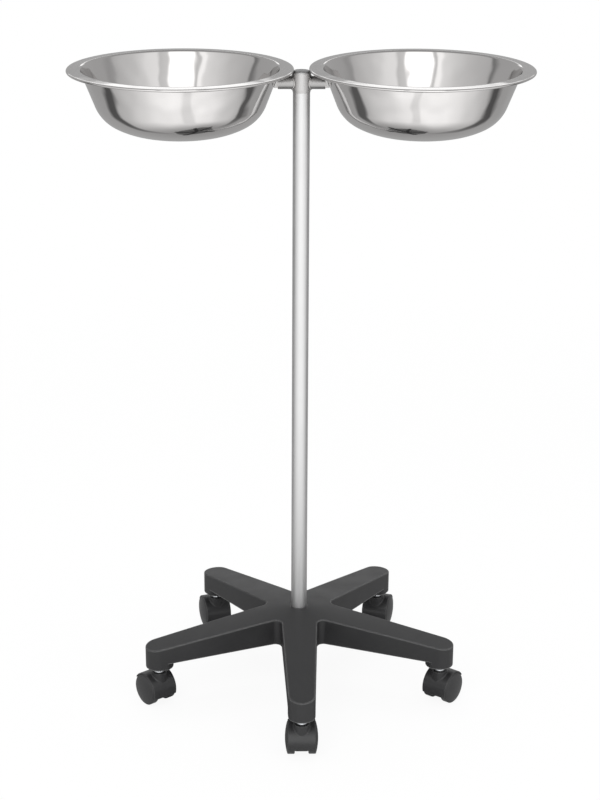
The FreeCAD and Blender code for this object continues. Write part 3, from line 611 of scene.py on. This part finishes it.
# Star base
# One moulding in black glass-filled nylon. Its skin has the fine grain of a spark-eroded mould, which
# breaks the light on it into a soft sheen, and its edges carry a painted highlight, a paler colour.
# Where the painted edge highlight begins and where it is full: the cosine between the face and its rounded
# edge
rub_begins = 0.998
rub_full = 0.96


def moulded_nylon(name, colours, roughnesses, grain_depth, edge_round, edge_rub):
    """Black glass-filled nylon: fine mould grain, flow marks, and edges rounded by a radius and given a
    painted highlight, paler by a share."""
    material, tree = new_material(name)
    place = add_node(tree, "ShaderNodeTexCoord").outputs["Object"]
    # Mould grain of about 0.8 mm, twice the real size so that it shows in the picture
    grain = add_node(tree, "ShaderNodeTexNoise", {"Vector": place, "Scale": 1250.0, "Detail": 2.0})
    rounded = add_node(tree, "ShaderNodeBevel", {"Radius": edge_round}, samples=6)
    bump = add_node(tree, "ShaderNodeBump", {"Height": grain, "Strength": 0.6, "Distance": grain_depth,
                                             "Normal": rounded})
    # Flow marks and handling over some 40 mm
    colour, roughness = clouded(tree, place, colours, roughnesses, scale=25.0, detail=4.0)
    own_normal = add_node(tree, "ShaderNodeNewGeometry").outputs["Normal"]
    agreement = add_node(tree, "ShaderNodeVectorMath", {0: rounded, 1: own_normal},
                         operation="DOT_PRODUCT").outputs["Value"]
    # Painted highlight: the colour turns paler where the rounded edge's normal leaves the face's own
    rubbed = add_node(tree, "ShaderNodeMapRange", {"Value": agreement, "From Min": rub_begins,
                                                   "From Max": rub_full, "To Max": edge_rub})
    colour = add_node(tree, "ShaderNodeMix", {0: rubbed, 6: colour, 7: linear("8A8A8A")},
                      data_type="RGBA").outputs[2]
    shader = add_node(tree, "ShaderNodeBsdfPrincipled", {"Base Color": colour, "Roughness": roughness,
                                                         "Normal": bump})
    add_node(tree, "ShaderNodeOutputMaterial", {"Surface": shader})
    return material


# The base's edges get a strong painted highlight
base_nylon = moulded_nylon("spark_grained_nylon", ("282829", "2E2E2F"), (0.36, 0.46),
                           grain_depth=0.00006, edge_round=0.0026, edge_rub=0.65)
dress("star_base", base_nylon)


# Castors
# Twin-wheel castors: a hood and two domed wheels moulded in black nylon. The wheels turn on an axle
# across the hood, and the hood on a stem in the leg's end. The steel in them is zinc-plated.
castor_names = ("front", "right", "back_right", "back_left", "left")


def bright_zinc():
    """Bright zinc plating on turned steel: a cool, pale, slightly cloudy mirror."""
    material, tree = new_material("bright_zinc_plate")
    place = add_node(tree, "ShaderNodeTexCoord").outputs["Object"]
    # Cloudy spots of about 3 mm, left by the plating bath
    colour, roughness = clouded(tree, place, ("C9CCD0", "DCDEE0"), (0.22, 0.34), scale=300.0, detail=3.0)
    shader = add_node(tree, "ShaderNodeBsdfPrincipled", {"Base Color": colour, "Metallic": 1.0,
                                                         "Roughness": roughness})
    add_node(tree, "ShaderNodeOutputMaterial", {"Surface": shader})
    return material


zinc = bright_zinc()
# The hoods and wheels get a faint painted edge highlight
castor_nylon = moulded_nylon("smooth_moulded_nylon", ("2E2E2F", "343435"), (0.30, 0.40),
                             grain_depth=0.00004, edge_round=0.0008, edge_rub=0.15)
for castor_name in castor_names:
    for piece_name in ("hood", "wheel_left", "wheel_right"):
        dress("castor_" + castor_name + "_" + piece_name, castor_nylon)
    for piece_name in ("axle", "stem"):
        dress("castor_" + castor_name + "_" + piece_name, zinc)
for node_name in ("stem_grip_rings", "foot_plug", "hub_bolt", "hub_washer"):
    dress(node_name, zinc)


# Washers
# A ring of zinc-plated steel lies round each stem, between the leg's end and the hood. It is pressed
# from sheet, flat below, with a sloping side that catches the light from the front.
collar_slope = 0.0005
collar_straight = 0.0012
collar_steps = 72
stem_radius = 0.0055


def washer_collar(name, low, high):
    """A closed section of radius and height carried round an upright axis: x = r cos a, y = r sin a.

    Each side of the section is a strip of its own, so that the corners stay sharp.
    """
    radius = (high.x - low.x) / 2
    section = np.array([(stem_radius, low.z), (radius, low.z), (radius, low.z + collar_straight),
                        (radius - collar_slope, high.z), (stem_radius, high.z)])
    strips = np.stack([section, np.roll(section, -1, 0)], 1)
    angles = np.linspace(0.0, 2 * math.pi, collar_steps, endpoint=False)
    x = (low.x + high.x) / 2 + strips[:, :, 0, None] * np.cos(angles)
    y = (low.y + high.y) / 2 + strips[:, :, 0, None] * np.sin(angles)
    z = np.broadcast_to(strips[:, :, 1, None], x.shape)
    index = np.arange(x.size).reshape(x.shape)
    start, end = index[:, 0], index[:, 1]
    quads = np.stack([start, np.roll(start, -1, 1), np.roll(end, -1, 1), end], 2)
    return make_mesh(name, np.stack([x, y, z], 3).reshape(-1, 3), [quads.reshape(-1, 4)])


for castor_name in castor_names:
    washer_name = "castor_" + castor_name + "_washer"
    collar = washer_collar("collar_" + castor_name, *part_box(washer_name))
    collar.data.materials.append(zinc)
    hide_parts(washer_name)
    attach(collar, "stand")
